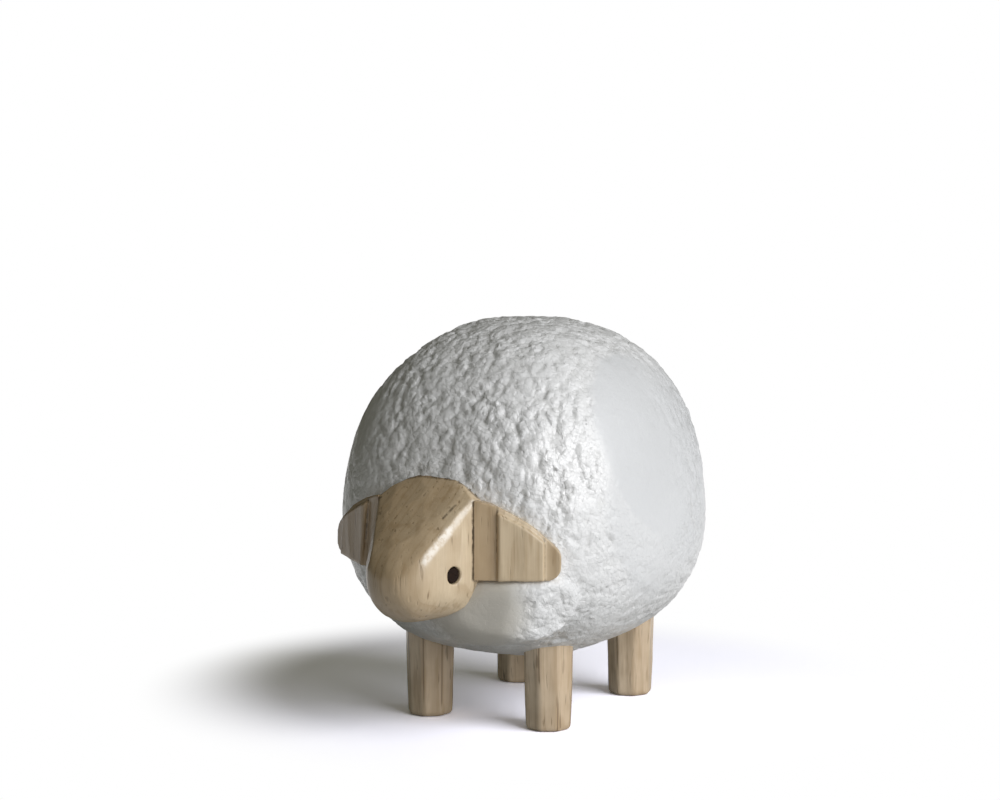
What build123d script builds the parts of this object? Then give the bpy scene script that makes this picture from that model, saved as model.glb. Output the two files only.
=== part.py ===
"""Small sheep ornament: a round plastered wool body on four whittled legs, with a carved head.

The sheep looks along -Y, +Z is up and its left side is +X. The origin lies on the floor,
below the middle of the whole ornament. All lengths are millimetres.
"""

from build123d import *

import os
from math import cos, pi, radians, sin, sqrt

# Wool body, a rounded form that swells a little towards the belly
wool_half_width = 44.7
wool_half_length = 51.4
wool_half_height = 46.1
belly_height = 16.4
wool_plan_round_share = 0.758
wool_rise_round_share = 0.833
belly_swell_share = 0.097
coat_thickness = 3.2
wool_outline_points = 24
wool_levels = 13
last_level_angle = 84

# Plaster chest, built up against the jaw and under the ears, fuller on the left
chest_half_width = 28.0
chest_half_length = 13.0
chest_half_height = 12.5
chest_offset = 8.0
chest_setback = 13.5
chest_height = 37.0

# Head, a whittled block with a sloping forehead, flat cheeks and a round muzzle
head_half_width = 14.0
muzzle_reach = 72.7
brow_reach = 54.4
head_seat_reach = 43.0
chin_height = 33.0
poll_height = 69.4
temple_height = 63.4
muzzle_radius = 11.0
muzzle_round = 9.4
jaw_round = 10.6
ridge_round = 1.2
ridge_crisp_height = 60.0
forehead_angle = 42.0
forehead_crown = 2.2
cheek_angle = 19.5
jaw_rise_angle = 35.0
chin_levels = 5
last_chin_angle = 78
muzzle_levels = 2
forehead_levels = 3

# Eyes, round pegs let into the cheeks
eye_radius = 2.1
eye_length = 5.0
eye_height = 45.4
eye_setback = 6.0
eye_recess = 0.2
eye_dome = 0.5

# Ears, slabs with a raised outer panel, the right one glued on a little higher at its tip
ear_sweep_angle = 28
ear_left_tilt_angle = 0
ear_right_tilt_angle = 8
ear_root_spare = 6.0
ear_length = 22.2
ear_thickness = 8.5
ear_bottom_height = 43.4
ear_root_rise = 20.6
ear_tip_rise = 7.2
ear_top_bow = 2.3
ear_tip_round = 3.5
ear_panel_start = 6.2
ear_panel_setback = 4.2
ear_panel_rise = 1.1
ear_panel_margin = 1.4
ear_edge_round = 0.5

# Legs, whittled rods with eight soft facets
leg_spacing_across = 36.6
leg_spacing_along = 50.2
leg_setback = 3.3
leg_length = 30.0
leg_facets = 8
leg_top_half_flat = 6.75
leg_foot_half_flat = 5.95
leg_facet_round = 2.4
leg_foot_round = 1.4

# Tail, a drop of plaster with a stem
tail_proud = 3.6
tail_seat_depth = 2.0
tail_top_height = 76.0
tail_top_radius = 3.2
tail_drop_length = 18.0
tail_drop_radius = 6.0
tail_edge_round = 3.0
tail_stem_radius = 2.5
tail_stem_length = 9.0

# Glued dowels and pins
leg_dowel_radius = 4.0
leg_dowel_in_leg = 11.0
leg_dowel_in_core = 13.0
head_dowel_radius = 3.0
head_dowel_in_head = 8.5
head_dowel_in_core = 12.0
head_dowel_rise = 5.5
ear_pin_radius = 2.0
ear_pin_in_ear = 5.5
ear_pin_in_core = 7.0
ear_pin_run_share = 0.45
ear_pin_length = ear_pin_in_ear + ear_pin_in_core
dowel_chamfer = 0.6
dowel_flutes = 4
flute_radius = 0.35

# Fits
glue_gap = 0.06
plaster_gap = 0.1
bore_bottom_gap = 0.4
overrun = 20.0

# Places that follow from the sizes above
wool_centre_height = belly_height + wool_half_height
wool_y = (muzzle_reach - wool_half_length - tail_proud) / 2
legs_y = wool_y + leg_setback
brow_y = wool_y - brow_reach
muzzle_y = wool_y - muzzle_reach
head_seat_y = wool_y - head_seat_reach
muzzle_centre_y = muzzle_y + muzzle_radius
muzzle_centre_height = chin_height + muzzle_radius
jaw_slope = sin(radians(jaw_rise_angle)) / cos(radians(jaw_rise_angle))
jaw_run = head_seat_y - muzzle_centre_y - muzzle_radius * sin(radians(jaw_rise_angle))
jaw_start_height = muzzle_centre_height - muzzle_radius * cos(radians(jaw_rise_angle))
seat_bottom_height = jaw_start_height + jaw_run * jaw_slope
head_middle_height = (seat_bottom_height + poll_height) / 2
ear_middle_height = ear_bottom_height + ear_root_rise / 2
ear_root_top = ear_root_rise / 2
ear_tip_top = ear_tip_rise - ear_root_rise / 2
ear_bow_top = (ear_root_top + ear_tip_top) / 2 + ear_top_bow
ear_panel_end = ear_length - ear_panel_setback
tail_seat_y = wool_y + wool_half_length - tail_seat_depth
tail_middle_height = tail_top_height - tail_drop_length / 2
leg_corners = {
    "front_left": (1, -1),
    "front_right": (-1, -1),
    "rear_left": (1, 1),
    "rear_right": (-1, 1),
}
leg_turns = {"front_left": 6, "front_right": 15, "rear_left": -9, "rear_right": 2}


def signed_power(value, exponent):
    """Power of a value that keeps its sign."""
    size = abs(value) ** exponent
    return -size if value < 0 else size


def wool_section(angle, shrink):
    """Level slice of the wool body at an angle of latitude, drawn in by shrink on every side."""
    rise = signed_power(sin(radians(angle)), wool_rise_round_share)
    reach = cos(radians(angle)) ** wool_rise_round_share * (1 - rise * belly_swell_share)
    half_x = (wool_half_width - shrink) * reach
    half_y = (wool_half_length - shrink) * reach
    outline = []
    for step in range(wool_outline_points):
        turn = 2 * pi * step / wool_outline_points
        across = signed_power(cos(turn), wool_plan_round_share)
        along = signed_power(sin(turn), wool_plan_round_share)
        outline.append((half_x * across, wool_y + half_y * along))
    height = wool_centre_height + rise * (wool_half_height - shrink)
    with BuildSketch(Plane.XY.offset(height)) as section:
        with BuildLine():
            Spline(*outline, periodic=True)
        make_face()
    return section.sketch


def wool_slices(shrink):
    """All level slices of the wool body, from the belly to the back."""
    step = 2 * last_level_angle / (wool_levels - 1)
    return [wool_section(step * level - last_level_angle, shrink) for level in range(wool_levels)]


def face_y_at(height):
    """Place of the middle of the face at a height: a round muzzle that runs into the forehead."""
    rise = height - muzzle_centre_height
    slope = radians(forehead_angle)
    if rise < muzzle_radius * cos(slope):
        return muzzle_centre_y - sqrt(muzzle_radius**2 - rise**2)
    return muzzle_centre_y - (muzzle_radius - rise * cos(slope)) / sin(slope)


def head_section(height):
    """Level slice of the head, whose front corners are crisp at the brow and round at the muzzle."""
    face_y = face_y_at(height)
    drop = max(muzzle_centre_height - height, 0)
    inset = muzzle_radius - sqrt(muzzle_radius**2 - drop**2)
    lean = sin(radians(cheek_angle)) / cos(radians(cheek_angle))
    corner_y = face_y + forehead_crown
    half_front = head_half_width - inset - (brow_y - corner_y) * lean
    half_back = head_half_width - inset + (head_seat_y - brow_y) * lean
    crispness = (height - muzzle_centre_height) / (ridge_crisp_height - muzzle_centre_height)
    crispness = min(max(crispness, 0), 1)
    corner_round = muzzle_round + (ridge_round - muzzle_round) * crispness
    corner_round *= half_front / (half_front + inset)
    with BuildSketch(Plane.XY.offset(height)) as section:
        with BuildLine():
            Polyline(
                (-half_front, corner_y),
                (-half_back, head_seat_y),
                (half_back, head_seat_y),
                (half_front, corner_y),
            )
            ThreePointArc((half_front, corner_y), (0, face_y), (-half_front, corner_y))
        make_face()
        fillet(section.vertices().group_by(Axis.Y)[0], radius=corner_round)
    return section.sketch


def head_slices():
    """All level slices of the head, from under the chin up to the poll."""
    chin_step = last_chin_angle / chin_levels
    muzzle_step = (90 - forehead_angle) / muzzle_levels
    angles = [chin_step * level - last_chin_angle for level in range(chin_levels)]
    angles += [muzzle_step * level for level in range(muzzle_levels + 1)]
    heights = [muzzle_centre_height + muzzle_radius * sin(radians(angle)) for angle in angles]
    forehead_step = (poll_height - heights[-1]) / forehead_levels
    forehead_start = heights[-1]
    heights += [forehead_start + forehead_step * level for level in range(1, forehead_levels + 1)]
    return [head_section(height) for height in heights]


def head_outline(grow):
    """Front view of the head, seen from behind it: arched poll, straight sides and a round jaw."""
    with BuildSketch(Plane.XZ.offset(-head_seat_y)) as outline:
        with BuildLine():
            ThreePointArc(
                (head_half_width, temple_height),
                (0, poll_height),
                (-head_half_width, temple_height),
            )
            Polyline(
                (-head_half_width, temple_height),
                (-head_half_width, chin_height),
                (head_half_width, chin_height),
                (head_half_width, temple_height),
            )
        make_face()
        fillet(outline.vertices().group_by(Axis.Y)[0], radius=jaw_round)
        if grow:
            offset(amount=grow)
    return outline.sketch


def head_pocket(grow):
    """Room for the head from its seat forwards, above the rising underside of its jaw."""
    slope = radians(jaw_rise_angle)
    down = Vector(0, sin(slope), -cos(slope))
    under_jaw = Vector(0, muzzle_centre_y, muzzle_centre_height) + down * (muzzle_radius + grow)
    with BuildPart() as pocket:
        extrude(head_outline(grow), amount=head_seat_y - muzzle_y + overrun)
        split(bisect_by=Plane(origin=under_jaw, z_dir=down), keep=Keep.BOTTOM)
    return pocket.part


def chest_form():
    """Rounded mass of plaster below the ears, a ball scaled to its three half sizes."""
    with BuildPart() as chest:
        Sphere(1)
        scale(by=(chest_half_width, chest_half_length, chest_half_height))
    return chest.part.moved(Location((chest_offset, brow_y + chest_setback, chest_height)))


def ear_plane(depth, tilt):
    """Upright plane of an ear, depth behind its face. Its X runs out to the ear's tip."""
    sweep = radians(ear_sweep_angle)
    rise = radians(tilt)
    out = Vector(sin(sweep), -cos(sweep), 0)
    root = Vector(head_half_width, brow_y, ear_middle_height) - out * depth
    run = Vector(cos(sweep) * cos(rise), sin(sweep) * cos(rise), sin(rise))
    return Plane(origin=root, x_dir=run, z_dir=out)


def ear_face():
    """Face of an ear about the middle of its root: level below, bowed above, round tip."""
    with BuildSketch() as face:
        with BuildLine():
            Polyline(
                (0, ear_root_top),
                (-ear_root_spare, ear_root_top),
                (-ear_root_spare, -ear_root_top),
                (ear_length, -ear_root_top),
                (ear_length, ear_tip_top),
            )
            ThreePointArc((ear_length, ear_tip_top), (ear_length / 2, ear_bow_top), (0, ear_root_top))
        make_face()
        fillet(face.vertices().group_by(Axis.X)[-1], radius=ear_tip_round)
    return face.sketch


def ear_slab(grow, thickness, tilt):
    """Slab with an ear's face, from its seat forwards."""
    with BuildPart() as slab:
        with BuildSketch(ear_plane(ear_thickness, tilt)):
            add(ear_face())
            if grow:
                offset(amount=grow)
        extrude(amount=thickness)
    return slab.part


def ear_slabs(grow, thickness):
    """Room for both ears, each at its own tilt."""
    left = ear_slab(grow, thickness, ear_left_tilt_angle)
    return [left, mirrored(ear_slab(grow, thickness, ear_right_tilt_angle))]


def ear_pin_place(tilt):
    """Inner end of an ear's pin, square to the ear's seat."""
    end = ear_plane(ear_thickness + ear_pin_in_core, tilt)
    run = end.x_dir * ear_length * ear_pin_run_share
    drop = end.y_dir * (ear_root_top - ear_tip_rise / 2)
    return Plane(origin=end.origin + run - drop, x_dir=end.x_dir, z_dir=end.z_dir)


def ear_form(tilt):
    """An ear on the left side: the slab, its raised panel, then the end that meets the head."""
    with BuildPart() as ear:
        add(ear_slab(0, ear_thickness, tilt))
        with BuildSketch(ear_plane(0, tilt)):
            add(ear_face())
            with Locations((0, -ear_panel_margin)):
                add(ear_face(), mode=Mode.INTERSECT)
            with Locations(((ear_panel_start + ear_panel_end) / 2, 0)):
                Rectangle(ear_panel_end - ear_panel_start, 2 * ear_root_rise, mode=Mode.INTERSECT)
        extrude(amount=ear_panel_rise)
        front = Axis(ear_plane(0, tilt).origin, ear_plane(0, tilt).z_dir)
        fillet(ear.faces().sort_by(front)[-1].edges(), radius=ear_edge_round)
        split(bisect_by=Plane.YZ.offset(head_half_width + glue_gap), keep=Keep.TOP)
        add(bore(ear_pin_place(tilt), ear_pin_radius, ear_pin_length), mode=Mode.SUBTRACT)
    return ear.part


def leg_form(corner, grow):
    """Whittled rod that narrows from its seat to the floor, grown on all its long faces."""
    side, end = leg_corners[corner]
    place = Vector(side * leg_spacing_across / 2, legs_y + end * leg_spacing_along / 2, 0)
    with BuildPart() as rod:
        for height, half_flat in ((0, leg_foot_half_flat), (leg_length, leg_top_half_flat)):
            with BuildSketch(Plane(origin=place + Vector(0, 0, height))) as facets:
                RegularPolygon(
                    radius=half_flat + grow,
                    side_count=leg_facets,
                    major_radius=False,
                    rotation=leg_turns[corner],
                )
                fillet(facets.vertices(), radius=leg_facet_round + grow)
        loft()
    return rod.part


def tail_form(seat_y, tip_y, grow):
    """Drop shape between two upright planes, narrow above and round below."""
    with BuildPart() as drop:
        with BuildSketch(Plane.XZ.offset(-tip_y)) as outline:
            with Locations((0, tail_top_height - tail_top_radius)):
                Circle(tail_top_radius + grow)
            with Locations((0, tail_top_height - tail_drop_length + tail_drop_radius)):
                Circle(tail_drop_radius + grow)
            make_hull()
        extrude(amount=tip_y - seat_y)
    return drop.part


def peg(place, radius, length):
    """Plain round peg that starts at a plane."""
    with BuildPart() as rod:
        with BuildSketch(place):
            Circle(radius)
        extrude(amount=length)
    return rod.part


def dowel(place, radius, length):
    """Glued dowel with chamfered ends and glue flutes along it."""
    with BuildPart() as rod:
        with BuildSketch(place):
            Circle(radius)
        extrude(amount=length)
        chamfer(rod.edges().filter_by(GeomType.CIRCLE), length=dowel_chamfer)
        with BuildSketch(place):
            with PolarLocations(radius, dowel_flutes):
                Circle(flute_radius)
        extrude(amount=length, mode=Mode.SUBTRACT)
    return rod.part


def bore(place, radius, length):
    """Hole for a dowel, wider by the glue and longer by a little room at both ends."""
    return peg(place.offset(-bore_bottom_gap), radius + glue_gap, length + 2 * bore_bottom_gap)


def mirrored(form):
    """The same form on the sheep's other side."""
    return mirror(form, about=Plane.YZ, mode=Mode.PRIVATE)


# Places of the dowels, each starting at its lower, inner or front end
leg_dowel_length = leg_dowel_in_leg + leg_dowel_in_core
leg_dowel_places = {}
for corner, (side, end) in leg_corners.items():
    leg_dowel_places[corner] = Plane(
        origin=(
            side * leg_spacing_across / 2,
            legs_y + end * leg_spacing_along / 2,
            leg_length - leg_dowel_in_leg,
        )
    )

head_dowel_length = head_dowel_in_head + head_dowel_in_core
head_dowel_places = {}
for name, side in (("upper", 1), ("lower", -1)):
    head_dowel_places[name] = Plane(
        origin=(0, head_seat_y - head_dowel_in_head, head_middle_height + side * head_dowel_rise),
        x_dir=(1, 0, 0),
        z_dir=(0, 1, 0),
    )

tail_stem_place = Plane(
    origin=(0, tail_seat_y - tail_stem_length, tail_middle_height),
    x_dir=(1, 0, 0),
    z_dir=(0, 1, 0),
)

# Eye sockets stand square on the cheeks
cheek_out = Vector(cos(radians(cheek_angle)), -sin(radians(cheek_angle)), 0)
cheek_along = Vector(-sin(radians(cheek_angle)), -cos(radians(cheek_angle)), 0)
eye_centre = Vector(head_half_width, brow_y, eye_height) + cheek_along * eye_setback
eye_place = Plane(origin=eye_centre - cheek_out * eye_length, z_dir=cheek_out)


# Wooden core, with flat seats for the head, the ears and the legs
with BuildPart() as body_core:
    loft(wool_slices(coat_thickness + plaster_gap))
    add(head_pocket(glue_gap), mode=Mode.SUBTRACT)
    add(ear_slabs(glue_gap, ear_thickness + overrun), mode=Mode.SUBTRACT)
    for corner, place in leg_dowel_places.items():
        add(leg_form(corner, glue_gap), mode=Mode.SUBTRACT)
        add(bore(place, leg_dowel_radius, leg_dowel_length), mode=Mode.SUBTRACT)
    for place in head_dowel_places.values():
        add(bore(place, head_dowel_radius, head_dowel_length), mode=Mode.SUBTRACT)
    add(bore(ear_pin_place(ear_left_tilt_angle), ear_pin_radius, ear_pin_length), mode=Mode.SUBTRACT)
    pin_bore = bore(ear_pin_place(ear_right_tilt_angle), ear_pin_radius, ear_pin_length)
    add(mirrored(pin_bore), mode=Mode.SUBTRACT)
    add(bore(tail_stem_place, tail_stem_radius, tail_stem_length), mode=Mode.SUBTRACT)

# Plaster wool, laid on the core and around the wooden pieces
with BuildPart() as wool_coat:
    loft(wool_slices(0))
    add(chest_form())
    loft(wool_slices(coat_thickness), mode=Mode.SUBTRACT)
    add(head_pocket(plaster_gap), mode=Mode.SUBTRACT)
    add(ear_slabs(plaster_gap, ear_thickness + overrun), mode=Mode.SUBTRACT)
    for corner in leg_corners:
        add(leg_form(corner, plaster_gap), mode=Mode.SUBTRACT)
    add(tail_form(tail_seat_y, tail_seat_y + overrun, plaster_gap), mode=Mode.SUBTRACT)
    add(bore(tail_stem_place, tail_stem_radius, tail_stem_length), mode=Mode.SUBTRACT)

# Head, with sockets for the eyes and bores for its dowels
with BuildPart() as head:
    loft(head_slices())
    add(head_pocket(0), mode=Mode.INTERSECT)
    for place in head_dowel_places.values():
        add(bore(place, head_dowel_radius, head_dowel_length), mode=Mode.SUBTRACT)
    eye_socket = peg(eye_place, eye_radius + glue_gap, overrun)
    add([eye_socket, mirrored(eye_socket)], mode=Mode.SUBTRACT)

# Eyes, domed pegs that end a little below the cheek
with BuildPart() as eye_left:
    add(peg(eye_place, eye_radius, eye_length - eye_recess))
    eye_rims = eye_left.edges().filter_by(GeomType.CIRCLE)
    fillet(eye_rims.sort_by(Axis(eye_centre, cheek_out))[-1], radius=eye_dome)
with BuildPart() as eye_right:
    mirror(eye_left.part, about=Plane.YZ)

# Tail, with its stem
with BuildPart() as tail:
    add(tail_form(tail_seat_y, wool_y + wool_half_length + tail_proud, 0))
    fillet(tail.faces().sort_by(Axis.Y)[-1].edges(), radius=tail_edge_round)
    add(peg(tail_stem_place, tail_stem_radius, tail_stem_length))

pieces = {
    "body_core": body_core.part,
    "wool_coat": wool_coat.part,
    "head": head.part,
    "eye_left": eye_left.part,
    "eye_right": eye_right.part,
    "ear_left": ear_form(ear_left_tilt_angle),
    "ear_right": mirrored(ear_form(ear_right_tilt_angle)),
    "tail": tail.part,
}

# Legs, rounded at the floor and bored for their dowels
for corner, place in leg_dowel_places.items():
    with BuildPart() as leg:
        add(leg_form(corner, 0))
        fillet(leg.faces().sort_by(Axis.Z)[0].edges(), radius=leg_foot_round)
        add(bore(place, leg_dowel_radius, leg_dowel_length), mode=Mode.SUBTRACT)
    pieces["leg_" + corner] = leg.part
    pieces["leg_dowel_" + corner] = dowel(place, leg_dowel_radius, leg_dowel_length)

for name, place in head_dowel_places.items():
    pieces["head_dowel_" + name] = dowel(place, head_dowel_radius, head_dowel_length)

pin_left_place = ear_pin_place(ear_left_tilt_angle)
pin_right_place = ear_pin_place(ear_right_tilt_angle)
pieces["ear_pin_left"] = dowel(pin_left_place, ear_pin_radius, ear_pin_length)
pieces["ear_pin_right"] = mirrored(dowel(pin_right_place, ear_pin_radius, ear_pin_length))

os.makedirs("parts", exist_ok=True)
for name, piece in pieces.items():
    piece.label = name
    export_step(piece, "parts/" + name + ".step")
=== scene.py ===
"""Small sheep ornament: dabbed plaster, whittled pine and dark eye pegs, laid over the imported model.

The sheep looks along -Y, +Z is up and its left side is +X. All lengths are metres.
"""

from math import cos, radians, sin

import bpy
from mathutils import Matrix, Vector


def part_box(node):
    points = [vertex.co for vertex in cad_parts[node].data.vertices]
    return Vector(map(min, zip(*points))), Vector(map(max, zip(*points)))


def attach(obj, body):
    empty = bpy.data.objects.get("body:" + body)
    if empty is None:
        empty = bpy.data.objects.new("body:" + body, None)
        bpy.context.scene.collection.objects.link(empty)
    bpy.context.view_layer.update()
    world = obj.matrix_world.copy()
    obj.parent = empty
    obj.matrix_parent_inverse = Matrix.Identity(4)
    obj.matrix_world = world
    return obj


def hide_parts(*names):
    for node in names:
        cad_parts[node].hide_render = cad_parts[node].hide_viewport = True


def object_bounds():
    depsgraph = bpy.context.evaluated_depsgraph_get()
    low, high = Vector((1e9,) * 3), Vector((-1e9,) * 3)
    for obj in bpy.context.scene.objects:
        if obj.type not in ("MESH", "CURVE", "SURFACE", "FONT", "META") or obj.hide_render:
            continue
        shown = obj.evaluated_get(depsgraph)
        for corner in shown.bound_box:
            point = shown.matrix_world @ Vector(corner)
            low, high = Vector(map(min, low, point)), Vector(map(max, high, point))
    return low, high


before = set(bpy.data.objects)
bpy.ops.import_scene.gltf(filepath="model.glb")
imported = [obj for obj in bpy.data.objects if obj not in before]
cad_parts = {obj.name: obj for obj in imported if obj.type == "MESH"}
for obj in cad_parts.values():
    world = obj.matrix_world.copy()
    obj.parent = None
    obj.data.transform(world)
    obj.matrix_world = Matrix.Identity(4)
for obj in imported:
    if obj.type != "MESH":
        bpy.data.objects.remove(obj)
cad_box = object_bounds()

MM = 0.001
white = (1, 1, 1, 1)

# All pieces
merge_distance = 0.001 * MM
soft_edge_angle = radians(50)
smoothing = 0.5

# Plaster coat: mesh, wall and how it meets the wood
coat_voxel = 0.5 * MM
coat_softening = 60
dab_softening = 2
coat_thinning = 0.42
hollow_voxel = 2.0 * MM
coat_wall = 3.2 * MM
coat_over_wood = 0.2 * MM
rim_angle = radians(30)
forward_facing = -0.8
box_margin = 0.05 * MM
lip_reach = (0.2 * MM, 0.8 * MM)
lip_height = 0.12 * MM
rim_reach = (0.3 * MM, 1.6 * MM)
rim_dabs = 0.3

# Plaster coat: flat cuts that run the chest's left end into the wool, each a point and a facing
trowels = (
    (Vector((14.0, -44.3, 38.0)) * MM, Vector((0.25, -0.95, -0.20)).normalized()),
    (Vector((27.0, -39.5, 37.0)) * MM, Vector((0.80, -0.52, -0.30)).normalized()),
    (Vector((25.6, -40.0, 38.3)) * MM, Vector((0.56, -0.78, -0.27)).normalized()),
)

# Plaster coat: broad lumps, and places where it is drawn in, each a centre, a full reach and an end
lump_size = 20 * MM
lump_height = 0.6 * MM
lump_sink = 0.2 * MM
crown_spot = ((-0.029, -0.008, 0.097), 5 * MM, 20 * MM)
crown_depth = 1.3 * MM
peak_spot = ((-0.0226, -0.0038, 0.1015), 4 * MM, 15 * MM)
peak_depth = 0.6 * MM
side_spot = ((-0.037, -0.016, 0.080), 6 * MM, 26 * MM)
side_depth = 0.7 * MM
shoulder_spot = ((-0.033, -0.025, 0.038), 6 * MM, 22 * MM)
shoulder_depth = 1.1 * MM

# Plaster texture: dabs, each a size, a lean and a crown
large_dab = (3.2 * MM, 0.27, 0.22)
broad_dab = (3.0 * MM, 0.19, 0.13)
small_dab = (1.8 * MM, 0.26, 0.16)
fine_dab = (1.1 * MM, 0.22, 0.14)
dab_wander = (5 * MM, 1.3 * MM)
crumb_wander = (3 * MM, 0.7 * MM)
upright_stretch = (1, 1, 0.62)
level_stretch = (0.55, 0.55, 1.1)
level_heights = (44 * MM, 54 * MM)
low_small_loss = 0.35

# Plaster texture: curled crests, each a size and a width, and grit
curl = (3.4 * MM, 0.09)
curl_height = 0.13 * MM
fine_curl = (1.7 * MM, 0.08)
fine_curl_height = 0.045 * MM
grit_size = 0.6 * MM
grit_height = 0.022 * MM
tail_sink = 0.25 * MM

# Plaster texture: where it is wiped smooth or crumpled, and how far
flank_wander = (7 * MM, 2.5 * MM)
flank_upper_spot = ((0.045, 0.004, 0.078), 24.5 * MM, 28 * MM)
flank_lower_spot = ((0.045, 0.006, 0.062), 26 * MM, 31 * MM)
flank_lower_share = 0.55
flank_rear_fade = (4 * MM, 28 * MM, 0.0, 0.75)
flank_calm = 0.85
chest_spot = ((0.014, -0.042, 0.036), 9 * MM, 14 * MM)
chest_calm = 0.85
right_spot = ((-0.034, -0.022, 0.066), 14 * MM, 36 * MM)
right_calm = 0.6
rear_spot = ((-0.040, 0.040, 0.055), 10 * MM, 28 * MM)
rear_calm = 0.4
crumpled_spot = ((0.033, -0.029, 0.071), 5 * MM, 13 * MM)
crumpled_gain = 0.7
patch_size = 13 * MM

# Plaster paint: colours, where each lies and how strongly
paint_grey = (0.79, 0.80, 0.805, 1)
paint_white = (0.835, 0.84, 0.845, 1)
paint_cloud_size = 9 * MM
# Painted shade: a grey that darkens the left flank
flank_shade_spot = ((0.046, 0.018, 0.070), 18 * MM, 40 * MM)
flank_painted_shade_grey = (0.69, 0.705, 0.72, 1)
flank_painted_shade_share = 0.85
# Painted shade in the low places of the plaster: the depths where it is full and where it ends, its grey and
# its share
hollow_shade_depths = (-0.6 * MM, -0.25 * MM)
hollow_painted_shade_grey = (0.64, 0.64, 0.62, 1)
hollow_painted_shade_share = 0.25
# Painted highlight: whiter paint on the crumpled patch where the lamp shines, which is also glossier
highlight_patch_spot = ((0.033, -0.029, 0.071), 6 * MM, 14 * MM)
painted_highlight_white = (0.95, 0.955, 0.96, 1)
painted_highlight_share = 0.8
# Painted shade: a warm grey on the chest under the head and the ear
chest_shade_spot = ((0.013, -0.043, 0.036), 9 * MM, 17 * MM)
chest_painted_shade_grey = (0.59, 0.56, 0.49, 1)
chest_painted_shade_share = 0.8
gloss_size = 3 * MM

# Wooden pieces: mesh and whittling
wood_voxels = {
    "head": 0.36 * MM,
    "ear_left": 0.32 * MM,
    "ear_right": 0.32 * MM,
    "leg_front_left": 0.36 * MM,
    "leg_front_right": 0.36 * MM,
    "leg_rear_left": 0.36 * MM,
    "leg_rear_right": 0.36 * MM,
}
pith_aside = Vector((-0.055, 0.012))
whittle_softening = 5
scoop = (5.0 * MM, 0.0, -0.07)
scoop_wander = (12 * MM, 1.5 * MM)
scoop_stretch = (1, 1, 0.3)
wave_size = 7 * MM
wave_height = 0.12 * MM
whittle_sink = 0.22 * MM
foot_clear = (0.1 * MM, 1.5 * MM)

# Wooden pieces: grain, each with a size, a stretch upwards and a share of the darker colour
ring_width = 2.3 * MM
ring_stretch = (1, 1, 0.12)
ring_wander = (8 * MM, 0.8 * MM)
ring_share = 0.5
fibre_size = 0.4 * MM
fibre_stretch = (1, 1, 0.05)
fibre_share = 0.35
dash_size = 1.0 * MM
dash_stretch = (1, 1, 0.14)
dash_share = 0.6
streak_size = 2.4 * MM
streak_stretch = (1, 1, 0.12)
streak_share = 0.45
grain_patch_size = 8 * MM
grain_cloud_size = 6 * MM
grain_cloud_share = 0.18
mark_break_size = 1.2 * MM
fibre_height = 0.02 * MM
ring_groove = 0.015 * MM
dash_groove = 0.05 * MM

# Wooden pieces: colours
pale_pine = (0.72, 0.595, 0.415, 1)
# Paler pine for the legs, painted light on their shaded side
leg_painted_light_pine = (0.94, 0.79, 0.60, 1)
dark_pine = (0.36, 0.24, 0.122, 1)
stroke_brown = (0.14, 0.08, 0.033, 1)
# Brown of the dark lines, painted shade in gaps and creases
groove_shade_brown = (0.055, 0.035, 0.018, 1)
# Pale of the worn ridges, partly a painted highlight
worn_pale_and_highlight = (0.92, 0.87, 0.78, 1)
raw_pine_pale = (0.62, 0.47, 0.30, 1)
raw_pine_dark = (0.40, 0.26, 0.14, 1)
raw_pine_pith = (0.05, 0.09)
raw_beech_pale = (0.66, 0.50, 0.33, 1)
raw_beech_dark = (0.50, 0.34, 0.2, 1)
raw_beech_pith = (0.03, 0.05)

# Head: the two knife-cut ridges between the forehead and the cheeks, given on the left
ridge_top = Vector((14.0, -45.2, 63.6)) * MM
ridge_foot = Vector((8.9, -59.9, 50.0)) * MM
ridge_facing = Vector((0.74, -0.60, 0.30))
ridge_depths = {1: (0.45 * MM, 0.55 * MM), -1: (0.2 * MM, 1.2 * MM)}
# Worn pale wood along each ridge, partly a painted highlight: width and depth, their shares at the top, and
# the full reach
ridge_wear_and_highlight = {1: (1.9 * MM, 0.95), -1: (0.5 * MM, 0.5)}
ridge_top_wear_and_highlight = (0.8, 0.6)
ridge_wear_and_highlight_reach = 0.1 * MM

# Head: painted shade, darker towards its left side and its right, each from x to x in millimetres, with a
# depth
head_painted_shade = ((13.0, 5.0, 0.45), (3.0, -12.0, 0.2))

# Dark lines of painted shade, in millimetres: the wool's edge on the head, a nick, the jaw's rim, the wool's
# edge on an ear
brow_line = (
    (-14, -41.5, 65.3), (-9.6, -41.7, 67.5), (-3.6, -41.7, 69.1), (6.8, -41.7, 68.6), (13.5, -41.6, 64.3)
)
nick_line = ((10.2, -47.6, 62.6), (8.6, -51.0, 59.6))
jaw_line = ((14.2, -44.2, 42.6), (12.2, -43.8, 36.8))
ear_line = ((13.5, -41.6, 64.3), (19.3, -40.4, 64.0), (24.2, -38.7, 61.5), (28.1, -36.9, 58.5))

# Dark lines of painted shade: each a full reach, an end and a depth
wool_edge_shade_look = (0.35 * MM, 1.05 * MM, 0.8)
nick_look = (0.1 * MM, 0.55 * MM, 0.7)
jaw_look = (0.15 * MM, 0.7 * MM, 0.6)
root_look = (0.15 * MM, 0.5 * MM, 0.9)
crease_look = (0.1 * MM, 0.45 * MM, 0.8)
tip_look = (0.1 * MM, 0.4 * MM, 0.6)

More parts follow.
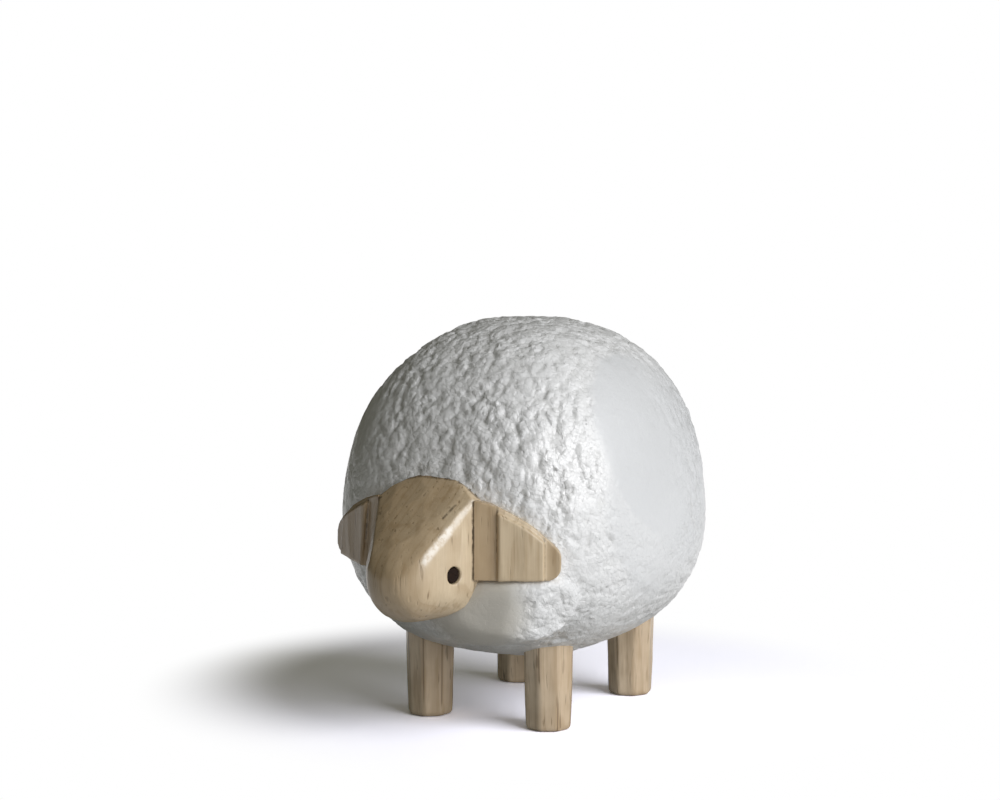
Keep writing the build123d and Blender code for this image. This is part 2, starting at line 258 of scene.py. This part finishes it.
# Ears: the middle of the root, the sweep, each ear's tilt, the panel's runs and the root's rises
ear_root = Vector((14.0, -45.55, 53.7)) * MM
ear_sweep = radians(28)
ear_tilts = {1: 0.0, -1: radians(8)}
ear_panel = (6.2 * MM, 18.0 * MM)
ear_crease_rises = (9.0 * MM, -3.0 * MM)
ear_tip_rises = (2.0 * MM, -10.0 * MM)
ear_root_rises = (10.6 * MM, -10.2 * MM)
ear_root_run = 0.1 * MM

# Ears: painted shade, darker stretches, each from run to run, with a depth
ear_painted_shade = {
    1: ((8.0 * MM, 4.5 * MM, 0.6), (14.0 * MM, 22.0 * MM, 0.45)),
    -1: ((16.0 * MM, 10.0 * MM, 0.7), (6.0 * MM, 18.0 * MM, 0.85)),
}

# Legs: the turn of each leg's facets, and painted light: the side that gets darker faces the lamp, the side
# away from it, in shade, is paler
leg_turns = {"front_left": 6, "front_right": 15, "rear_left": -9, "rear_right": 2}
leg_facet_angle = radians(45)
leg_painted_light_way = Vector((0.875, 0.485, 0))
leg_painted_light_start = 6 * MM
leg_painted_light_end = 2.5 * MM
leg_painted_light_depth = 0.5
edge_line_size = 4.5 * MM
edge_line_stretch = (1, 1, 0.25)
edge_wide_share = 0.3
edge_thin_share = 0.75

# Eyes and tail
eye_voxel = 0.14 * MM
eye_grain_size = 0.9 * MM
eye_grain_height = 0.4 * MM
eye_sink = 0.42 * MM
stain_size = 0.5 * MM
stain_height = 0.1 * MM
stain_dark = (0.004, 0.0022, 0.0014, 1)
stain_brown = (0.022, 0.009, 0.004, 1)
tail_voxel = 0.35 * MM

# Camera, lamp, floor and surroundings
camera_place = (0.26017, -0.47110, 0.12203)
camera_aim = (-0.00797, 0.00769, 0.0851)
camera_lens = 71.2
camera_sensor = 36
lamp_aim = (0, 0, 0.06)
lamp_side = radians(79)
lamp_rise = radians(22)
lamp_distance = 1.6
lamp_size = 1.4
lamp_power = 28
lamp_colour = (1.0, 1.0, 1.02)
room_light = (0.090, 0.0875, 0.0655, 1)
floor_size = 6
floor_seen = (2.2, 2.21, 2.47, 1)
floor_bounce = (0.42, 0.42, 0.41, 1)
shadow_spot = ((-0.015, 0.035, 0), 68 * MM, 115 * MM)


def only(piece):
    """Selects one piece and nothing else."""
    bpy.ops.object.select_all(action="DESELECT")
    piece.select_set(True)
    bpy.context.view_layer.objects.active = piece


def apply(piece, kind, **settings):
    """Adds a modifier to a piece, sets it and applies it."""
    only(piece)
    modifier = piece.modifiers.new(kind.lower(), kind)
    for name, value in settings.items():
        setattr(modifier, name, value)
    bpy.ops.object.modifier_apply(modifier=modifier.name)


def merged_copy(node, name):
    """A closed copy of a node's mesh, as a new piece."""
    piece = bpy.data.objects.new(name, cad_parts[node].data.copy())
    bpy.context.scene.collection.objects.link(piece)
    piece.data.materials.clear()
    only(piece)
    bpy.ops.object.mode_set(mode="EDIT")
    bpy.ops.mesh.select_mode(type="FACE")
    bpy.ops.mesh.select_all(action="SELECT")
    bpy.ops.mesh.remove_doubles(threshold=merge_distance)
    bpy.ops.mesh.select_all(action="DESELECT")
    bpy.ops.object.mode_set(mode="OBJECT")
    return piece


def copy_of(piece, name):
    """A copy of a piece with its own mesh."""
    only(piece)
    bpy.ops.object.duplicate()
    copy = bpy.context.view_layer.objects.active
    copy.name = name
    return copy


def discard(piece):
    """Removes a helper piece."""
    bpy.data.objects.remove(piece)


class Signal:
    """One output of a node, on which plain arithmetic adds Math nodes."""

    def __init__(self, graph, socket):
        self.graph = graph
        self.socket = socket

    def output(self, name):
        """Another output of the same node."""
        return Signal(self.graph, self.socket.node.outputs[name])

    def maths(self, operation, *others):
        """The result of a Math node on this output and other values."""
        values = dict(enumerate((self, *others)))
        return self.graph.node("ShaderNodeMath", {"operation": operation}, values)

    def __add__(self, other):
        return self.maths("ADD", other)

    def __sub__(self, other):
        return self.maths("SUBTRACT", other)

    def __rsub__(self, other):
        return self.maths("MULTIPLY", -1.0).maths("ADD", other)

    def __mul__(self, other):
        return self.maths("MULTIPLY", other)

    def __truediv__(self, other):
        return self.maths("DIVIDE", other)

    __radd__ = __add__


class Graph:
    """A node tree being wired, for a material or for a shape."""

    def __init__(self, tree):
        self.tree = tree

    def fill(self, node, sockets):
        """Gives a node's sockets their values or links."""
        for name, value in sockets.items():
            if isinstance(value, Signal):
                self.tree.links.new(value.socket, node.inputs[name])
            else:
                node.inputs[name].default_value = value

    def node(self, kind, settings=None, sockets=None, output=0):
        """Adds a node, makes its settings, fills its sockets and gives one of its outputs."""
        node = self.tree.nodes.new(kind)
        for name, value in (settings or {}).items():
            setattr(node, name, value)
        self.fill(node, sockets or {})
        return Signal(self, node.outputs[output])


def vector(graph, operation, *values, output=0):
    """A Vector Math node."""
    return graph.node("ShaderNodeVectorMath", {"operation": operation}, dict(enumerate(values)), output)


def scaled(graph, arrow, length):
    """A vector times a number."""
    return graph.node("ShaderNodeVectorMath", {"operation": "SCALE"}, {0: arrow, "Scale": length})


def noise(graph, place, size, detail=2.0, output=0):
    """Soft noise with lumps of a given size, from 0 to 1."""
    inputs = {"Vector": place, "Scale": 1 / size, "Detail": detail}
    return graph.node("ShaderNodeTexNoise", {}, inputs, output)


def coordinate(graph, place, axis):
    """One of the coordinates of a place."""
    return graph.node("ShaderNodeSeparateXYZ", {}, {0: place}, axis)


def stretched(graph, place, shares):
    """A place with its coordinates scaled, which stretches the patterns made from it."""
    return vector(graph, "MULTIPLY", place, shares)


def ramp(graph, value, low, high, start=0.0, end=1.0):
    """Smooth step of a value from start to end."""
    inputs = {"Value": value, "From Min": low, "From Max": high, "To Min": start, "To Max": end}
    return graph.node("ShaderNodeMapRange", {"interpolation_type": "SMOOTHSTEP"}, inputs)


def blend(graph, factor, first, second):
    """Mix of two colours."""
    return graph.node("ShaderNodeMix", {"data_type": "RGBA"}, {0: factor, 6: first, 7: second}, 2)


def bent(graph, place, size, reach):
    """A place pushed about by soft noise of a size, so that straight patterns wander by a reach."""
    push = vector(graph, "SUBTRACT", noise(graph, place, size, output="Color"), (0.5, 0.5, 0.5))
    return vector(graph, "ADD", place, scaled(graph, push, 2 * reach))


def pads(graph, place, size, lean, crown):
    """Rounded dabs that each lean their own way, with soft creases between them, in metres."""
    cell = graph.node("ShaderNodeTexVoronoi", {"feature": "F1"}, {"Vector": place, "Scale": 1 / size})
    arm = vector(graph, "SUBTRACT", place, cell.output("Position"))
    tip = vector(graph, "SUBTRACT", cell.output("Color"), (0.5, 0.5, 0.5))
    slope = vector(graph, "DOT_PRODUCT", arm, tip, output="Value")
    reach = vector(graph, "DOT_PRODUCT", arm, arm, output="Value")
    return slope * lean - reach * (crown / size)


def crests(graph, place, size, width):
    """Thin curling ridges, from 0 to 1, where soft noise passes its middle."""
    level = (noise(graph, place, size, 1.0) - 0.5).maths("ABSOLUTE")
    return ramp(graph, level, 0.0, width, 1.0, 0.0)


def near(graph, place, spot):
    """1 close to a spot's centre, falling to 0 between its two reaches."""
    centre, inner, outer = spot
    distance = vector(graph, "DISTANCE", place, centre, output="Value")
    return ramp(graph, distance, inner, outer, 1.0, 0.0)


def share_along(graph, arm, along):
    """How far along a way an arm from its start reaches, from 0 to 1 and past them."""
    return vector(graph, "DOT_PRODUCT", arm, along / along.length_squared, output="Value")


def stroke(graph, place, start, end, inner, outer):
    """1 along the line between two points, falling to 0 beside it."""
    along = end - start
    arm = vector(graph, "SUBTRACT", place, start)
    share = share_along(graph, arm, along)
    foot = scaled(graph, along, graph.node("ShaderNodeClamp", {}, {"Value": share}))
    distance = vector(graph, "DISTANCE", arm, foot, output="Value")
    return ramp(graph, distance, inner, outer, 1.0, 0.0)


def smooth_flank(graph, place):
    """1 on the left flank, where the plaster was smoothed and where painted shade greys it: its front edge
    wanders, its rear edge is soft.
    """
    wandering = bent(graph, place, *flank_wander)
    upper = near(graph, wandering, flank_upper_spot)
    lower = near(graph, wandering, flank_lower_spot)
    rear = ramp(graph, coordinate(graph, place, "Y"), *flank_rear_fade)
    return upper.maths("MAXIMUM", lower * flank_lower_share) * (1 - rear)


def calm(graph, place):
    """How strong the dabs are: weak on the left flank, chest, right and rear, strong where crumpled."""
    patch = ramp(graph, noise(graph, place, patch_size, 1.0), 0.35, 0.60, 0.6, 1.0)
    flank = 1 - smooth_flank(graph, place) * flank_calm
    chest = 1 - near(graph, place, chest_spot) * chest_calm
    right = 1 - near(graph, place, right_spot) * right_calm
    rear = 1 - near(graph, place, rear_spot) * rear_calm
    crumpled = 1 + near(graph, place, crumpled_spot) * crumpled_gain
    return patch * (flank * chest * right * rear) * crumpled


def dabs(graph, place):
    """Height in metres of the larger dabs: upright above, drawn out sideways below, with curled crests."""
    wandering = bent(graph, place, *dab_wander)
    low = ramp(graph, coordinate(graph, place, "Z"), *level_heights, 1.0, 0.0)
    upright = stretched(graph, wandering, upright_stretch)
    level = stretched(graph, wandering, level_stretch)
    large = pads(graph, upright, *large_dab) * (1 - low)
    broad = pads(graph, level, *broad_dab) * low
    small = pads(graph, wandering, *small_dab) * (1 - low * low_small_loss)
    curls = crests(graph, upright, *curl) * curl_height
    return (large + broad + small + curls) * calm(graph, place)


def crumbs(graph, place):
    """Height in metres of the small dabs and grit, too fine for the mesh."""
    wandering = bent(graph, place, *crumb_wander)
    small = pads(graph, wandering, *fine_dab)
    lines = crests(graph, wandering, *fine_curl) * fine_curl_height
    grit = noise(graph, place, grit_size, 1.0) * grit_height
    return (small + lines) * calm(graph, place) + grit


def moved(graph, skin, offset):
    """The mesh with its points moved."""
    return graph.node("GeometryNodeSetPosition", {}, {"Geometry": skin, "Offset": offset})


def raised(graph, skin, height):
    """The mesh with its points moved out along their normals."""
    return moved(graph, skin, scaled(graph, graph.node("GeometryNodeInputNormal"), height))


def plaster_shape(graph, skin, place, wood):
    """Dabs the plaster, calm beside the wood and with a soft lip there."""
    near_wood = graph.node("GeometryNodeObjectInfo", {}, {"Object": wood}, "Geometry")
    gap = graph.node("GeometryNodeProximity", {}, {0: near_wood}, "Distance")
    lip = ramp(graph, gap, *lip_reach, 1.0, 0.0)
    open_coat = ramp(graph, gap, *rim_reach, rim_dabs, 1.0)
    lumps = noise(graph, place, lump_size, 1.0) * lump_height - lump_sink
    crown = near(graph, place, crown_spot) * crown_depth + near(graph, place, peak_spot) * peak_depth
    side = near(graph, place, side_spot) * side_depth
    shoulder = near(graph, place, shoulder_spot) * shoulder_depth
    height = (dabs(graph, place) + lumps) * open_coat + lip * lip_height - crown - side - shoulder
    return trowelled(graph, raised(graph, skin, height), place, box_sides())


def box_sides():
    """The sides and the top of the solid model's box, a little drawn in, each a point and a facing."""
    low, high = (Vector(corner) for corner in cad_box)
    margin = Vector((1, 1, 1)) * box_margin
    low, high = low + margin, high - margin
    return (low, Vector((-1, 0, 0))), (high, Vector((1, 0, 0))), (high, Vector((0, 0, 1)))


def trowelled(graph, skin, _, planes):
    """Flat cuts: all that stands out past each plane is pressed back on to it."""
    for point, facing in planes:
        arm = vector(graph, "SUBTRACT", graph.node("GeometryNodeInputPosition"), point)
        depth = vector(graph, "DOT_PRODUCT", arm, facing, output="Value").maths("MAXIMUM", 0.0)
        skin = moved(graph, skin, scaled(graph, facing, depth * -1.0))
    return skin


def tail_shape(graph, skin, place):
    """Small dabs on the tail."""
    return raised(graph, skin, dabs(graph, place) - tail_sink)


def whittle_shape(graph, skin, place, knives):
    """Broad shallow scoops over a wooden piece, none under its foot, then the flat cuts of the knives."""
    upright = stretched(graph, bent(graph, place, *scoop_wander), scoop_stretch)
    waves = noise(graph, place, wave_size, 1.0) * wave_height
    clear = ramp(graph, coordinate(graph, place, "Z"), *foot_clear)
    height = (pads(graph, upright, *scoop) + waves - whittle_sink) * clear
    return trowelled(graph, raised(graph, skin, height), place, knives)


def rough_shape(graph, skin, place):
    """Coarse broken grain on the end of an eye peg, all inwards."""
    return raised(graph, skin, noise(graph, place, eye_grain_size, 2.0) * eye_grain_height - eye_sink)


def reshape(piece, shape, *others):
    """Runs a shape of nodes over a piece and applies it."""
    tree = bpy.data.node_groups.new(shape.__name__, "GeometryNodeTree")
    for way in ("INPUT", "OUTPUT"):
        tree.interface.new_socket("Geometry", in_out=way, socket_type="NodeSocketGeometry")
    graph = Graph(tree)
    skin = graph.node("NodeGroupInput")
    place = graph.node("GeometryNodeInputPosition")
    result = shape(graph, skin, place, *others)
    graph.fill(tree.nodes.new("NodeGroupOutput"), {"Geometry": result})
    apply(piece, "NODES", node_group=tree)


def new_material(name):
    """A material and the graph that wires it."""
    material = bpy.data.materials.new(name)
    material.use_nodes = True
    return material, Graph(material.node_tree)


def finish_surface(graph, **sockets):
    """Sets the sockets of a material's shader."""
    shader = graph.tree.nodes["Principled BSDF"]
    graph.fill(shader, {name.replace("_", " "): value for name, value in sockets.items()})


def object_place(graph):
    """Object coordinates, in metres."""
    return graph.node("ShaderNodeTexCoord", {}, {}, "Object")


def bump(graph, height):
    """Normal that follows a height in metres."""
    return graph.node("ShaderNodeBump", {}, {"Height": height, "Distance": 1.0, "Strength": 1.0})


def plaster():
    """White semi-gloss paint over dabbed plaster, with painted shade in its hollow parts, on the flank and
    on the chest, and a painted highlight on a crumpled patch.
    """
    material, graph = new_material("dabbed_plaster")
    place = object_place(graph)
    relief = crumbs(graph, place)
    hollow_shade = ramp(graph, dabs(graph, place) + relief, *hollow_shade_depths, 1.0, 0.0)
    clouds = noise(graph, place, paint_cloud_size, 3.0)
    flank_shade = smooth_flank(graph, place).maths("MAXIMUM", near(graph, place, flank_shade_spot))
    highlight_patch = near(graph, place, highlight_patch_spot)
    chest_shade = near(graph, place, chest_shade_spot)
    colour = blend(graph, clouds, paint_grey, paint_white)
    # Painted shade: the left flank greyer
    colour = blend(graph, flank_shade * flank_painted_shade_share, colour, flank_painted_shade_grey)
    # Painted shade: the low places of the dabs greyer
    colour = blend(graph, hollow_shade * hollow_painted_shade_share, colour, hollow_painted_shade_grey)
    # Painted highlight: the crumpled patch whiter
    colour = blend(graph, highlight_patch * painted_highlight_share, colour, painted_highlight_white)
    # Painted shade: the chest greyer under the head
    colour = blend(graph, chest_shade * chest_painted_shade_share, colour, chest_painted_shade_grey)
    rough = noise(graph, place, gloss_size, 2.0) * 0.2 + 0.24 - highlight_patch * 0.1
    finish_surface(graph, Base_Color=colour, Roughness=rough, Normal=bump(graph, relief))
    return material


def pine(name, pith, pale, dark, marks=(), facets=None, painted_shading=()):
    """Varnished wood with rings about a far pith, fibres, brown strokes, darker sides painted as light and
    shade, and its own marks, mostly painted shade.
    """
    material, graph = new_material(name)
    place = object_place(graph)
    late = late_wood(graph, place, pith)
    fibre = noise(graph, stretched(graph, place, fibre_stretch), fibre_size, 2.0)
    dashes = noise(graph, stretched(graph, place, dash_stretch), dash_size, 1.0)
    dashes = ramp(graph, dashes, 0.62, 0.76)
    streaks = noise(graph, stretched(graph, place, streak_stretch), streak_size, 2.0)
    patch = noise(graph, place, grain_patch_size, 2.0)
    clouds = ramp(graph, noise(graph, place, grain_cloud_size, 2.0), 0.35, 0.7)
    colour = blend(graph, fibre * fibre_share + clouds * grain_cloud_share, pale, dark)
    # Painted light and shade: each piece darker towards one side
    for start, end, depth in painted_shading:
        arm = vector(graph, "SUBTRACT", place, start)
        share = share_along(graph, arm, end - start)
        colour = blend(graph, ramp(graph, share, 0.0, 1.0) * depth, colour, dark)
    colour = blend(graph, late * ramp(graph, patch, 0.35, 0.65, 0.1, 0.8) * ring_share, colour, dark)
    colour = blend(graph, ramp(graph, streaks, 0.52, 0.72) * streak_share, colour, dark)
    colour = blend(graph, dashes * ramp(graph, patch, 0.35, 0.6) * dash_share, colour, stroke_brown)
    # Marks: painted shade in gaps and creases, and worn pale ridges partly painted as a highlight
    for start, end, inner, outer, tint, depth in marks:
        line = stroke(graph, place, start, end, inner, outer)
        broken = ramp(graph, noise(graph, place, mark_break_size, 2.0), 0.35, 0.6, 0.3, 1.0)
        colour = blend(graph, line * broken * depth, colour, tint)
    if facets:
        colour = facet_lines(graph, place, colour, *facets)
    height = fibre * fibre_height - late * ring_groove - dashes * dash_groove
    rough = fibre * 0.15 + 0.38
    varnish = {"Coat_Weight": 0.4, "Coat_Roughness": 0.25}
    finish_surface(graph, Base_Color=colour, Roughness=rough, Normal=bump(graph, height), **varnish)
    return material


def late_wood(graph, place, pith):
    """1 in the dark outer part of each yearly ring about a pith."""
    centred = vector(graph, "SUBTRACT", place, (pith[0], pith[1], 0))
    slow = bent(graph, stretched(graph, centred, ring_stretch), *ring_wander)
    reach = vector(graph, "LENGTH", stretched(graph, slow, (1, 1, 0)), output="Value")
    ring = (reach / ring_width).maths("FRACT")
    return ramp(graph, ring, 0.55, 0.95) * ramp(graph, ring, 0.95, 1.0, 1.0, 0.0)


def facet_lines(graph, place, colour, axis, turn):
    """Dark lines along some stretches of the edges between a leg's facets."""
    arm = vector(graph, "SUBTRACT", place, axis)
    angle = coordinate(graph, arm, "Y").maths("ARCTAN2", coordinate(graph, arm, "X"))
    phase = ((angle - turn) / leg_facet_angle + 8.5).maths("FRACT")
    aside = (phase - 0.5).maths("ABSOLUTE")
    where = noise(graph, stretched(graph, place, edge_line_stretch), edge_line_size, 1.0)
    thin = ramp(graph, aside, 0.01, 0.06, 1.0, 0.0) * ramp(graph, where, 0.50, 0.60)
    wide = ramp(graph, aside, 0.02, 0.22, 1.0, 0.0) * ramp(graph, where, 0.40, 0.65)
    colour = blend(graph, wide * edge_wide_share, colour, dark_pine)
    return blend(graph, thin * edge_thin_share, colour, stroke_brown)


def eye_stain():
    """Dark brown stain on the rough end grain of a peg."""
    material, graph = new_material("eye_stain")
    grain = noise(graph, object_place(graph), stain_size, 3.0)
    finish_surface(
        graph,
        Base_Color=blend(graph, grain, stain_dark, stain_brown),
        Roughness=grain * 0.2 + 0.6,
        Normal=bump(graph, grain * stain_height),
        Specular_IOR_Level=0.15,
    )
    return material


def settle(piece, material, slot, *nodes):
    """Gives a finished piece its material and its place among the bodies."""
    piece.data.materials.clear()
    piece.data.materials.append(material)
    only(piece)
    bpy.ops.object.shade_smooth_by_angle(angle=soft_edge_angle)
    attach(piece, "root")
    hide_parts(*nodes)


def wooden_cutter():
    """Everything that the coat is laid round, drawn in a little so that the plaster laps on to it."""
    wood = None
    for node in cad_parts:
        if node in ("wool_coat", "body_core", "eye_left", "eye_right"):
            continue
        cutter = merged_copy(node, "cutter")
        apply(cutter, "DISPLACE", strength=-coat_over_wood, mid_level=0.0)
        if wood is None:
            wood = cutter
        else:
            apply(wood, "BOOLEAN", operation="UNION", solver="MANIFOLD", object=cutter)
            discard(cutter)
    return wood


def plaster_coat(material):
    """The coat: its outer skin closed and dabbed, then hollowed and cut out round the wood."""
    coat = merged_copy("wool_coat", "plaster_coat")
    forward = [face for face in coat.data.polygons if face.normal.y < forward_facing]
    top = max(coat.data.polygons, key=lambda face: face.center.z)
    chest = min(forward, key=lambda face: face.center.y)
    top.select = chest.select = True
    coat.data.polygons.active = top.index
    bpy.ops.object.mode_set(mode="EDIT")
    bpy.ops.mesh.faces_select_linked_flat(sharpness=rim_angle)
    bpy.ops.mesh.select_all(action="INVERT")
    bpy.ops.mesh.delete(type="FACE")
    bpy.ops.mesh.select_all(action="SELECT")
    bpy.ops.mesh.fill_holes(sides=0)
    bpy.ops.mesh.normals_make_consistent(inside=False)
    bpy.ops.object.mode_set(mode="OBJECT")
    hollow = copy_of(coat, "hollow")
    apply(hollow, "REMESH", mode="VOXEL", voxel_size=hollow_voxel)
    reshape(hollow, trowelled, trowels)
    apply(hollow, "DISPLACE", strength=-coat_wall, mid_level=0.0)
    wood = wooden_cutter()
    apply(coat, "REMESH", mode="VOXEL", voxel_size=coat_voxel)
    reshape(coat, trowelled, trowels)
    apply(coat, "SMOOTH", factor=smoothing, iterations=coat_softening)
    reshape(coat, plaster_shape, wood)
    apply(coat, "SMOOTH", factor=smoothing, iterations=dab_softening)
    apply(coat, "DECIMATE", ratio=coat_thinning)
    apply(coat, "BOOLEAN", operation="DIFFERENCE", solver="MANIFOLD", object=hollow)
    apply(coat, "BOOLEAN", operation="DIFFERENCE", solver="MANIFOLD", object=wood)
    discard(hollow)
    discard(wood)
    settle(coat, material, "plaster_wool", "wool_coat")


def reworked(node, name, voxel, shape, *others):
    """A node's form, remeshed finely and worked over."""
    piece = merged_copy(node, name)
    apply(piece, "REMESH", mode="VOXEL", voxel_size=voxel)
    reshape(piece, shape, *others)
    return piece


def mirrored(point, side):
    """A point given on the left, taken to a side."""
    return Vector((point.x * side, point.y, point.z))


def ridge_knife(side):
    """Flat cut along a ridge of the head, deeper towards the muzzle."""
    top_depth, foot_depth = ridge_depths[side]
    top = ridge_top - ridge_facing.normalized() * top_depth
    foot = ridge_foot - ridge_facing.normalized() * foot_depth
    along = (foot - top).normalized()
    facing = (ridge_facing - along * ridge_facing.dot(along)).normalized()
    return mirrored(top, side), mirrored(facing, side)


def ear_point(side, run, rise):
    """A place on an ear's face, from the middle of its root."""
    tilt = ear_tilts[side]
    out = Vector((cos(ear_sweep), sin(ear_sweep), 0))
    point = ear_root + out * (run * cos(tilt) - rise * sin(tilt))
    point.z += run * sin(tilt) + rise * cos(tilt)
    return mirrored(point, side)


def line_of(places, side):
    """Places given in millimetres on the left, taken to a side."""
    return [mirrored(Vector(place) * MM, side) for place in places]


def groove(ends, inner, outer, depth):
    """A dark mark of painted shade between two places: full within the inner reach, gone past the outer one.
    """
    return (*ends, inner, outer, groove_shade_brown, depth)


def root_groove(side):
    """Dark line of painted shade in the gap between the head and an ear."""
    ends = [ear_point(side, ear_root_run, rise) for rise in ear_root_rises]
    return groove(ends, *root_look)


def wool_edge_shade_line(places, side):
    """Dark strokes of painted shade that follow a line of places given on the left."""
    line = line_of(places, side)
    return [groove(ends, *wool_edge_shade_look) for ends in zip(line, line[1:])]


def head_marks():
    """Painted shade under the wool, in a nick in the brow, at the roots of the ears and at the rim of the
    jaw, and worn ridges partly painted as a highlight.
    """
    marks = wool_edge_shade_line(brow_line, 1)
    marks.append(groove(line_of(nick_line, 1), *nick_look))
    for side, (width, depth) in ridge_wear_and_highlight.items():
        top, foot = mirrored(ridge_top, side), mirrored(ridge_foot, side)
        half = (top + foot) / 2
        width_share, depth_share = ridge_top_wear_and_highlight
        top_look = (ridge_wear_and_highlight_reach, width * width_share, worn_pale_and_highlight, depth * depth_share)
        marks.append((top, half, *top_look))
        marks.append((half, foot, ridge_wear_and_highlight_reach, width, worn_pale_and_highlight, depth))
        marks.append(root_groove(side))
        marks.append(groove(line_of(jaw_line, side), *jaw_look))
    return marks


def ear_marks(side):
    """Painted shade at the root, in the crease before the panel, in a thin line behind it and under the
    wool.
    """
    first, last = ear_panel
    crease = [ear_point(side, first, rise) for rise in ear_crease_rises]
    tip = [ear_point(side, last, rise) for rise in ear_tip_rises]
    return [
        root_groove(side),
        groove(crease, *crease_look),
        groove(tip, *tip_look),
        *wool_edge_shade_line(ear_line, side),
    ]


def wooden_piece(node, voxel):
    """The head, an ear or a leg: whittled, smoothed and given its own grain, marks, and painted light and
    shade.
    """
    low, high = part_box(node)
    centre = (low + high) / 2
    pith = centre.xy + pith_aside
    knives, marks, facets, painted_shading, pale = [], [], None, [], pale_pine
    if node == "head":
        knives = [ridge_knife(1), ridge_knife(-1)]
        marks = head_marks()
        # Painted shade: the head darker away from its lit left cheek
        for start, end, depth in head_painted_shade:
            painted_shading.append((Vector((start, 0, 0)) * MM, Vector((end, 0, 0)) * MM, depth))
    elif node.startswith("ear"):
        side = 1 if node == "ear_left" else -1
        marks = ear_marks(side)
        # Painted shade on the ears: darker towards the root and the tip, the right ear most of all
        for start, end, depth in ear_painted_shade[side]:
            painted_shading.append((ear_point(side, start, 0), ear_point(side, end, 0), depth))
    else:
        axis = Vector((centre.x, centre.y, 0))
        facets = (axis, radians(leg_turns[node.removeprefix("leg_")]))
        # Painted light: paler on the leg's side away from the lamp, darker towards it
        start = axis - leg_painted_light_start * leg_painted_light_way
        end = axis + leg_painted_light_end * leg_painted_light_way
        painted_shading = [(start, end, leg_painted_light_depth)]
        pale = leg_painted_light_pine
    piece = reworked(node, "carved_" + node, voxel, whittle_shape, knives)
    apply(piece, "SMOOTH", factor=smoothing, iterations=whittle_softening)
    material = pine("pine_" + node, pith, pale, dark_pine, marks, facets, painted_shading)
    settle(piece, material, "pine", node)


def key_lamp():
    """A large square lamp on the sheep's left, a little above it."""
    level = cos(lamp_rise) * lamp_distance
    height = lamp_aim[2] + sin(lamp_rise) * lamp_distance
    place = (sin(lamp_side) * level, -cos(lamp_side) * level, height)
    bpy.ops.object.light_add(type="AREA", location=place)
    light = bpy.context.object
    light.name = "key"
    light.data.energy = lamp_power
    light.data.size = lamp_size
    light.data.color = lamp_colour
    look_at(light, lamp_aim)


def look_at(thing, aim):
    """Turns a camera or a lamp to a point."""
    thing.rotation_euler = (Vector(aim) - thing.location).to_track_quat("-Z", "Y").to_euler()


def pale_floor():
    """Pale floor that keeps the shadow near the feet and runs out to plain white."""
    bpy.ops.mesh.primitive_plane_add(size=floor_size)
    floor = bpy.context.object
    floor.name = "floor"
    material, graph = new_material("pale_floor")
    path = graph.node("ShaderNodeLightPath", {}, {}, "Is Camera Ray")
    seen = path.maths("MAXIMUM", path.output("Is Glossy Ray"))
    colour = blend(graph, path.output("Is Glossy Ray"), floor_bounce, white)
    colour = blend(graph, path, colour, floor_seen)
    finish_surface(graph, Base_Color=colour, Roughness=0.6, Specular_IOR_Level=0.1)
    glow = graph.node("ShaderNodeEmission", {}, {"Color": white, "Strength": 1.0})
    far = (1 - near(graph, object_place(graph), shadow_spot)) * seen
    shader = Signal(graph, graph.tree.nodes["Principled BSDF"].outputs[0])
    mixed = graph.node("ShaderNodeMixShader", {}, {0: far, 1: shader, 2: glow})
    graph.fill(graph.tree.nodes["Material Output"], {"Surface": mixed})
    floor.data.materials.append(material)


def white_room():
    """Surroundings that look white and give a dim, slightly warm light."""
    world = bpy.data.worlds.new("white_room")
    bpy.context.scene.world = world
    world.use_nodes = True
    graph = Graph(world.node_tree)
    path = graph.node("ShaderNodeLightPath", {}, {}, "Is Camera Ray")
    seen = path.maths("MAXIMUM", path.output("Is Transmission Ray"))
    colour = blend(graph, seen, room_light, white)
    graph.fill(world.node_tree.nodes["Background"], {"Color": colour})


def studio():
    """Floor, surroundings, a large soft lamp on the sheep's left and the camera."""
    pale_floor()
    white_room()
    key_lamp()
    bpy.ops.object.camera_add(location=camera_place)
    camera = bpy.context.object
    camera.data.lens = camera_lens
    camera.data.sensor_width = camera_sensor
    look_at(camera, camera_aim)
    bpy.context.scene.camera = camera
    bpy.context.scene.view_settings.view_transform = "Standard"


plaster_paint = plaster()
plaster_coat(plaster_paint)

for node, voxel in wood_voxels.items():
    wooden_piece(node, voxel)

eye_material = eye_stain()
for node in ("eye_left", "eye_right"):
    peg = reworked(node, "rough_" + node, eye_voxel, rough_shape)
    settle(peg, eye_material, "eye_dark", node)

drop = reworked("tail", "plaster_tail", tail_voxel, tail_shape)
settle(drop, plaster_paint, "plaster_wool", "tail")

raw_pine = pine("raw_core_wood", raw_pine_pith, raw_pine_pale, raw_pine_dark)
raw_beech = pine("raw_beech", raw_beech_pith, raw_beech_pale, raw_beech_dark)
for name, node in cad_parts.items():
    if name == "body_core" or "dowel" in name or "pin" in name:
        node.data.materials.clear()
        node.data.materials.append(raw_pine if name == "body_core" else raw_beech)

studio()
